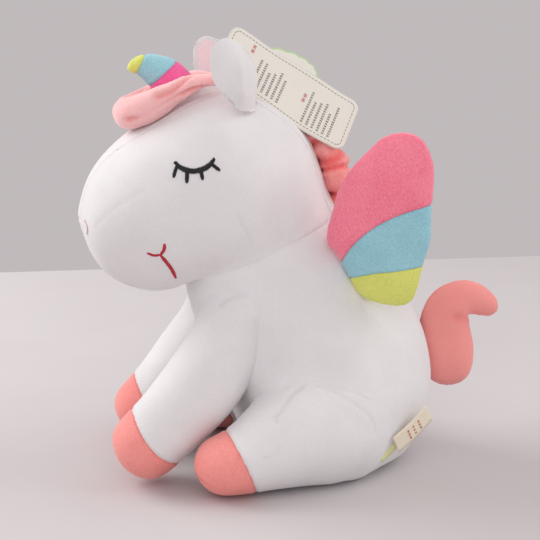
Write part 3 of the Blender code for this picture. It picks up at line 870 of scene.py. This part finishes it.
def makeForelock():
    half = [(Vector(s[:3]), (s[3], s[4])) for s in forelockShape["stations"]]
    mirror = Vector((-1, 1, 1))
    whole = half + [(point * mirror, width) for point, width in reversed(half)]
    rings = pathRings([point for point, _ in whole], [width for _, width in whole], Vector((0, 0.35, 1)))
    form = loft(rings, 10, startTip=Vector((24, -56, 231)), endTip=Vector((-24, -56, 231)), levels=4)

    def seams(points):
        for side in (1, -1):
            for line, width, depth in zip(forelockShape["creases"], (1.7, 2.2, 2.0), (2.3, 1.9, 0.9)):
                gap, travel = nearPath(points, smoothPath([(side * x, y, z) for x, y, z in line], steps=5))
                yield gap, travel, width, depth, 0.35

    tucked(form, seams, lump=0.9, lumpSize=11, seed=4)
    addPiece("forelockRoll", form, plushPale, "head", ["forelock", "forelock_stuffing"],
             slot="pale_coral_plush")


maneShape = {
    "stations": ((-40, 226, 6, 3), (-29, 219, 10, 4.8), (-18.5, 211, 12.5, 6), (-8, 201, 14.5, 7.5),
                 (1.5, 190, 18, 9), (7.5, 177.5, 21, 10.5), (9.5, 166, 19, 10.5), (8.5, 157, 11, 7.5)),
    "folds": 9,
}


def makeMane():
    stations = maneShape["stations"]
    points = [Vector((0, s[0], s[1])) for s in stations]
    rings = pathRings(points, [(s[2], s[3]) for s in stations], xAxis)
    form = loft(rings, 12, startTip=Vector((0, -46, 228)), endTip=Vector((0, 7, 152)), levels=5)
    dice = random.Random(11)
    folds = []
    for number in range(maneShape["folds"]):
        share = (number + 0.6 + dice.uniform(-0.15, 0.15)) / maneShape["folds"] * (len(points) - 1)
        index = min(int(share), len(points) - 2)
        flow = (points[index + 1] - points[index]).normalized() + xAxis * dice.uniform(-0.3, 0.3)
        folds.append((points[index].lerp(points[index + 1], share - index), flow.normalized()))

    def seams(points):
        # pleats run across the hair from one side of the head to the other
        for number, (middle, flow) in enumerate(folds):
            offset = points - np.array(middle)
            gap = np.abs(offset @ np.array(flow)) + np.maximum(np.linalg.norm(offset, axis=1) - 24, 0)
            deep = 1.3 if number < 4 else 2.4
            yield gap, offset[:, 0], 1.9 + 0.5 * (number % 3), deep - 0.5 * (number % 2), 0.3

    tucked(form, seams, lump=1.1, lumpSize=9, seed=6)
    addPiece("manePleats", form, plushMane, "head", ["mane", "mane_stuffing"], slot="coral_plush")


makeHorn()
makeForelock()
makeMane()
print("horn and hair made")


# Flat sewn pads: ears and wings

def padForm(outline, origin, along, across, thickness, puff):
    # a flattened ball drawn out to an outline, (distance along, distance across)
    middle = Vector((sum(p[0] for p in outline), sum(p[1] for p in outline))) / len(outline)
    line = [Vector((p[0], p[1], 0)) for p in outline]
    closed = smoothPath([line[-1], *line, line[0], line[1]], steps=8)[8:-8]
    polar = sorted((math.atan2(p.y - middle.y, p.x - middle.x), math.hypot(p.x - middle.x, p.y - middle.y))
                   for p in closed)
    polar = [(polar[-1][0] - math.tau, polar[-1][1]), *polar, (polar[0][0] + math.tau, polar[0][1])]
    angles = [a for a, _ in polar]
    reaches = [r for _, r in polar]
    normal = along.cross(across).normalized()
    bm = bmesh.new()
    bmesh.ops.create_uvsphere(bm, u_segments=80, v_segments=44, radius=1)
    for vert in bm.verts:
        share = min(1.0, math.hypot(vert.co.x, vert.co.y))
        angle = math.atan2(vert.co.y, vert.co.x)
        reach = float(np.interp(angle, angles, reaches))
        height = math.copysign((1 - share ** 2) ** puff, vert.co.z) * thickness / 2
        flat = (middle.x + reach * share * math.cos(angle), middle.y + reach * share * math.sin(angle))
        vert.co = (origin + along * flat[0] + across * flat[1] + normal * height) * mm
    bmesh.ops.recalc_face_normals(bm, faces=bm.faces)
    if bm.calc_volume(signed=True) < 0:
        bmesh.ops.reverse_faces(bm, faces=bm.faces)
    rim = [origin + along * p.x + across * p.y for p in closed]
    return subdivided(bm, 1), [*rim, rim[0]]


earShape = {
    "base": Vector((38.5, -47, 214.5)),
    "opening": Vector((-0.87, -0.49, 0)),
    "outline": ((0.2, 4.6), (5.3, 5), (10.2, 6), (14.5, 6.7), (19.5, 6), (23.9, 4.3), (27.7, 1.5), (31, -1.2),
                (34.8, -5.3), (37.5, -9.4), (39.1, -13.4), (39.6, -17.4), (38.6, -20.7), (36.6, -23.1),
                (33.5, -24.4), (29.8, -24.9), (23.5, -24.7), (18.2, -23.8), (13.8, -21.7), (10, -18.4),
                (5.2, -13.4), (1, -8.4)),
    "thickness": 5,
}


def earCurl(points, base, across):
    # how far the ear bows towards its lining, with a valley along the middle
    spread = (points - np.array(base)) @ np.array(across) + 9
    height = points[:, 2] - base.z
    valley = np.exp(-(spread / 4) ** 2) * ease(height / 12) * ease((36 - height) / 16)
    return 0.014 * spread ** 2 - 2.8 * valley


def makeEars():
    up = Vector((0, 0, 1))
    for word, side in sides:
        mirror = Vector((side, 1, 1))
        base = earShape["base"] * mirror
        opening = (earShape["opening"] * mirror).normalized()
        across = (earShape["opening"].normalized().cross(up)) * mirror
        form, rim = padForm(earShape["outline"], base, up, across, earShape["thickness"], 0.7)
        cutAt(form, base + opening * 1.1, opening)
        points = readPoints(form)
        writePoints(form, points + np.array(opening) * (earCurl(points, base, across) - 1)[:, None])
        tucked(form, lambda points: [], lump=0.7, lumpSize=13, seed=2)
        centres = faceCentres(form)
        flat = (centres - np.array(base)) @ np.array(opening)
        isLining = flat - earCurl(centres, base, across) > 0.1
        name = word.capitalize()
        addPiece("earBack" + name, keptFaces(form, ~isLining), plushWhite, "ear_" + word,
                 ["ear_back_" + word], fabric=0.6, slot="white_plush")
        addPiece("earLining" + name, keptFaces(form, isLining), plushLining, "ear_" + word,
                 ["ear_lining_" + word], fabric=0.6, slot="lining_plush")


wingShape = {
    "rootFront": Vector((39, -3, 140)),
    "rootBack": Vector((47, 20, 107)),
    "out": {"left": Vector((0.45, 0.68, 0.58)), "right": Vector((-0.80, 0.58, 0.16))},
    "outline": ((1, -0.5), (-5, 4), (-10.5, 10.5), (-16, 17.5), (-21, 24.5), (-25, 32), (-27.5, 40),
                (-29, 48), (-30, 56), (-31, 62.5), (-29.5, 69), (-26, 75), (-21, 79), (-15, 80.8),
                (-8, 79.3), (0, 75.5), (8, 69.8), (15, 63.3), (23, 57), (31, 50.2), (37, 43.2), (43, 35.8),
                (49, 29), (53, 24), (54.8, 19.5), (54, 15), (51, 10), (46, 5), (40, 0), (34, -2.8),
                (28, -2.5), (21, -1), (14, 0.2), (7, 0.4)),
    "thickness": 21,
}


def pinkSeam(out):
    # how far along the root the pink band ends, at each distance out
    return 7 + 0.0072 * (out - 31) ** 2


def yellowSeam(out):
    return 23.6 + 0.447 * (out + 1.2) - 0.0052 * max(0.0, (out + 1.2) * (41 - out))


def makeWings():
    for word, side in sides:
        mirror = Vector((side, 1, 1))
        origin = wingShape["rootFront"] * mirror
        along = ((wingShape["rootBack"] - wingShape["rootFront"]) * mirror).normalized()
        out = wingShape["out"][word]
        out = (out - along * out.dot(along)).normalized()
        form, rim = padForm(wingShape["outline"], origin, along, out, wingShape["thickness"], 0.5)
        cuts = []
        for seam in (pinkSeam, yellowSeam):
            cuts.append((origin, along, lambda place, seam=seam: -seam((place - origin).dot(out))))
            cutAt(form, *cuts[-1])

        def seams(points):
            gap, travel = nearPath(points, rim)
            yield gap, travel, 1.1, 0.5, 0.3
            for cut in cuts:
                yield np.abs(pastCut(points, cut)), points @ np.array(out), 0.9, 0.5, 0.15

        tucked(form, seams, lump=0.7, lumpSize=15, seed=20 + side)
        centres = faceCentres(form)
        past = [pastCut(centres, cut) for cut in cuts]
        bands = (
            ("wingPinkBand", past[0] < 0, plushPink, "pink", True),
            ("wingBlueBand", (past[0] > 0) & (past[1] < 0), plushBlue, "blue", False),
            ("wingYellowBand", past[1] > 0, plushYellow, "yellow", False),
        )
        name = word.capitalize()
        for label, keep, finish, colour, holds in bands:
            nodes = [f"wing_{colour}_band_{word}"] + ([f"wing_stuffing_{word}"] if holds else [])
            addPiece(label + name, keptFaces(form, keep), finish, "wing_" + word, nodes, fabric=0.7,
                     slot=colour + "_plush")


tailShape = {
    # place (y, z), then half thickness and half width
    "stations": ((81, 43.5, 8, 12), (82, 52, 11, 15.8), (81, 65, 12, 17), (79.5, 78, 12, 15.8),
                 (82.5, 89.5, 11.5, 14.3), (90, 95.3, 10, 11.5), (98.5, 94.8, 8.5, 9.7),
                 (105.5, 91.3, 7, 7.8), (110.3, 88, 5, 5.2)),
}


def makeTail():
    stations = tailShape["stations"]
    points = [Vector((0, s[0], s[1])) for s in stations]
    rings = pathRings(points, [(s[2], s[3]) for s in stations], xAxis)
    form = loft(rings, 12, startTip=Vector((0, 81, 38.5)), endTip=Vector((0, 113.2, 85.8)), levels=4)

    def seams(points):
        yield np.abs(points[:, 0]), points[:, 1] + points[:, 2], 1.1, 0.55, 0.2
        for side in (1, -1):
            gap, travel = nearPath(points, smoothPath([(side * 9, 97, 82), (side * 11, 91, 84),
                                                       (side * 12, 84, 86)]))
            yield gap, travel, 3.2, 0.8, 0.0

    tucked(form, seams, lump=0.5, lumpSize=16, seed=31)
    addPiece("tailForm", form, plushTail, "tail", ["tail", "tail_stuffing"], slot="coral_plush")


makeEars()
makeWings()
makeTail()
print("ears, wings and tail made")


# Hang tags and care label

def cardFinish(name, base, deep):
    made = Finish(name, 0.62, Specular_IOR_Level=0.35)
    fibre = made.grain(420, 4.0, 0.6)
    made.colour(made.blendColour(fibre * 0.6, base, deep))
    return made.bump(fibre, 0.0001, 0.3).material


cardCream = cardFinish("creamCard", shade(0.79, 0.775, 0.70), shade(0.72, 0.70, 0.62))
cardGreen = cardFinish("greenEdge", shade(0.50, 0.70, 0.36), shade(0.42, 0.62, 0.30))
inkDark = cardFinish("darkInk", shade(0.16, 0.15, 0.14), shade(0.24, 0.22, 0.20))
inkRed = cardFinish("redInk", shade(0.66, 0.22, 0.20), shade(0.55, 0.15, 0.14))
clearNylon = cardFinish("nylon", shade(0.8, 0.8, 0.78), shade(0.7, 0.7, 0.68))
ribbonCream = cardFinish("creamRibbon", shade(0.84, 0.77, 0.62), shade(0.74, 0.66, 0.51))
ribbonYellow = cardFinish("yellowRibbon", shade(0.80, 0.80, 0.42), shade(0.70, 0.70, 0.32))

tagShape = {
    "centre": Vector((7.5, -21.3, 225.3)),
    "along": Vector((0, 0.84, -0.54)).normalized(),
    "across": Vector((-0.6, 0.43, 0.67)),
    "size": (88, 37),
    "corner": 6,
    "hole": (-32, -3.5),
    "leafTurn": math.radians(30),
    "leafSize": (28, 13.5),
    "leafReach": 24,
}
tagAlong = tagShape["along"]
tagAcross = (tagShape["across"] - tagAlong * tagShape["across"].dot(tagAlong)).normalized()
tagFacing = tagAlong.cross(tagAcross)


def cardPlace(along, across, lift=0.0):
    # the card curls a little at its free end
    curl = 3.2 * max(0.0, (along - 8) / 36) ** 2 + 0.6 * math.sin(along * 0.12) * (across / 18)
    drift = -1.2 * max(0.0, along / 44)
    sideways = across * (1 + 0.0007 * (along + 43)) + drift
    return tagShape["centre"] + tagAlong * along + tagAcross * sideways + tagFacing * (curl + lift)


def cardMarks(name, marks, finish, body, node=None, slot=None):
    # flat printed marks on the card: (along, across, length, width, turn)
    bm = bmesh.new()
    for along, across, length, width, turn in marks:
        flow = tagAlong * math.cos(turn) + tagAcross * math.sin(turn)
        beside = tagFacing.cross(flow)
        place = Matrix((flow * length, beside * width, tagFacing * 0.12)).transposed().to_4x4()
        place.translation = cardPlace(along, across, 0.36)
        bmesh.ops.create_cube(bm, size=1, matrix=Matrix.Scale(mm, 4) @ place)
    return addPiece(name, meshFrom(bm), finish, body, [], slot=slot)


def makeCard():
    halfLong, halfWide = (side / 2 for side in tagShape["size"])
    corner = tagShape["corner"]
    bm = bmesh.new()
    bmesh.ops.create_grid(bm, x_segments=60, y_segments=26, size=1)
    for vert in bm.verts:
        along, across = vert.co.x * halfLong, vert.co.y * halfWide
        past = Vector((max(0, abs(along) - halfLong + corner), max(0, abs(across) - halfWide + corner)))
        if past.x > 0 and past.y > 0:
            round_ = max(past) / past.length
            along = math.copysign(halfLong - corner + past.x * round_, along)
            across = math.copysign(halfWide - corner + past.y * round_, across)
        vert.co = cardPlace(along, across) * mm
    mesh = meshFrom(bm)
    card = addPiece("tagCard", mesh, cardCream, "tag_card", ["tag_card"], slot="tag_paper")
    wall = card.modifiers.new("Board", "SOLIDIFY")
    wall.thickness = 0.6 * mm
    wall.offset = 0
    border = []
    inset = 2.6
    straight = (halfLong - corner, halfWide - corner)
    bend = corner - inset
    stitches = ((straight[0], halfWide - inset, True), (straight[1], halfLong - inset, False))
    for runHalf, edge, lengthwise in stitches:
        count = int(2 * runHalf / 2.3)
        for sign in (-1, 1):
            for number in range(count):
                run = ((number + 0.5) / count * 2 - 1) * runHalf
                spot = (run, sign * edge) if lengthwise else (sign * edge, run)
                border.append((*spot, 1.5, 0.32, 0.0 if lengthwise else math.pi / 2))
    for cornerAlong in (-1, 1):
        for cornerAcross in (-1, 1):
            for number in range(3):
                turn = math.pi / 6 * (number + 0.5)
                spot = (cornerAlong * (straight[0] + bend * math.cos(turn)),
                        cornerAcross * (straight[1] + bend * math.sin(turn)))
                border.append((*spot, 1.4, 0.32, (turn + math.pi / 2) * cornerAlong * cornerAcross))
    dice = random.Random(21)
    words = []
    for first, last, start, end in ((15.5, 36, -13.5, 10), (-27, 1, -12.5, 8.5)):
        row = first
        while row < last:
            spot = start
            stop = end - dice.uniform(0, 9)
            while spot < stop:
                for stroke in range(2):
                    words.append((row + (stroke - 0.5) * 0.85, spot, 0.42, dice.uniform(0.9, 1.35), 0.0))
                words.append((row, spot + dice.uniform(-0.3, 0.3), 1.3, 0.3, 0.0))
                spot += 1.75
            row += 3.5
    titles = []
    for along, across in ((11.6, -0.6), (-27.5, 9)):
        for number in range(2):
            for stroke in (-0.9, 0, 0.9):
                titles.append((along, across + number * 3.4 + stroke, 2.1, 0.4, 0.0))
            titles.append((along, across + number * 3.4, 0.4, 2.4, 0.0))
    cardMarks("tagBorder", border, inkDark, "tag_card", slot="tag_paper")
    cardMarks("tagWords", words, inkDark, "tag_card", slot="tag_paper")
    cardMarks("tagTitles", titles, inkRed, "tag_card", slot="tag_paper")


def makeLeaf():
    turn = tagShape["leafTurn"]
    flow = tagAlong * math.cos(turn) + tagAcross * math.sin(turn)
    beside = tagFacing.cross(flow)
    hole = tagShape["centre"] + tagAlong * tagShape["hole"][0] + tagAcross * tagShape["hole"][1]
    centre = hole + flow * tagShape["leafReach"] - tagFacing * 1.2
    for name, inset, lift, finish, nodes in (("leafEdge", 0, 0, cardGreen, ["tag_leaf"]),
                                             ("leafFace", 1.5, 0.42, cardCream, []),
                                             ("leafBack", 1.5, -0.42, cardCream, [])):
        bm = bmesh.new()
        bmesh.ops.create_circle(bm, cap_ends=True, segments=168, radius=1)
        for vert in bm.verts:
            angle = math.atan2(vert.co.y, vert.co.x)
            wave = 0.9 * abs(math.cos(angle * 9)) - inset
            long, wide = (size + wave for size in tagShape["leafSize"])
            spot = centre + flow * (long * vert.co.x) + beside * (wide * vert.co.y) + tagFacing * lift
            vert.co = spot * mm
        leaf = addPiece(name, meshFrom(bm), finish, "tag_leaf", nodes, slot="tag_paper")
        leaf.data.shade_flat()
        wall = leaf.modifiers.new("Board", "SOLIDIFY")
        wall.thickness = 0.4 * mm
        wall.offset = 0


def ribbon(name, line, across, width, finish, node):
    path = smoothPath(line, steps=10)
    bm = bmesh.new()
    bmesh.ops.create_grid(bm, x_segments=len(path) - 1, y_segments=6, size=1)
    for vert in bm.verts:
        index = round((vert.co.x + 1) / 2 * (len(path) - 1))
        vert.co = (path[index] + across * (vert.co.y * width / 2)) * mm
    piece = addPiece(name, meshFrom(bm), finish, "torso", [node], fabric=0.35, slot="label_ribbon")
    length = sum((b - a).length for a, b in zip(path, path[1:]))
    return path


def makeCareLabel():
    across = Vector((0.28, -0.42, 0.86)).normalized()
    ribbon("careLabelBack", [(57, 25, 17), (53, 33, 22.5), (49, 41, 28)], across, 11, ribbonYellow,
           "care_label_back")
    path = ribbon("careLabelFront", [(56, 35, 22.5), (52, 46, 29.5), (46, 57.5, 38)], across, 12, ribbonCream,
                  "care_label_front")
    bm = bmesh.new()
    facing = (path[-1] - path[0]).normalized().cross(across)
    facing = facing * math.copysign(1, facing.x)
    for number, index in enumerate((8, 11, 14)):
        flow = (path[index + 1] - path[index - 1]).normalized()
        for stroke in (-2.4, 0, 2.4):
            place = Matrix((flow * 1.3, across * (1.5 - 0.4 * (number % 2)),
                            facing * 0.1)).transposed().to_4x4()
            place.translation = path[index] + across * (stroke - 0.5) + facing * 0.1
            bmesh.ops.create_cube(bm, size=1, matrix=Matrix.Scale(mm, 4) @ place)
    addPiece("careLabelMarks", meshFrom(bm), inkRed, "torso", [], slot="label_ribbon")


makeCard()
makeLeaf()
makeCareLabel()
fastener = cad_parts["tag_fastener"]
fastener.data.materials.clear()
fastener.data.materials.append(clearNylon)
print("tags and label made")
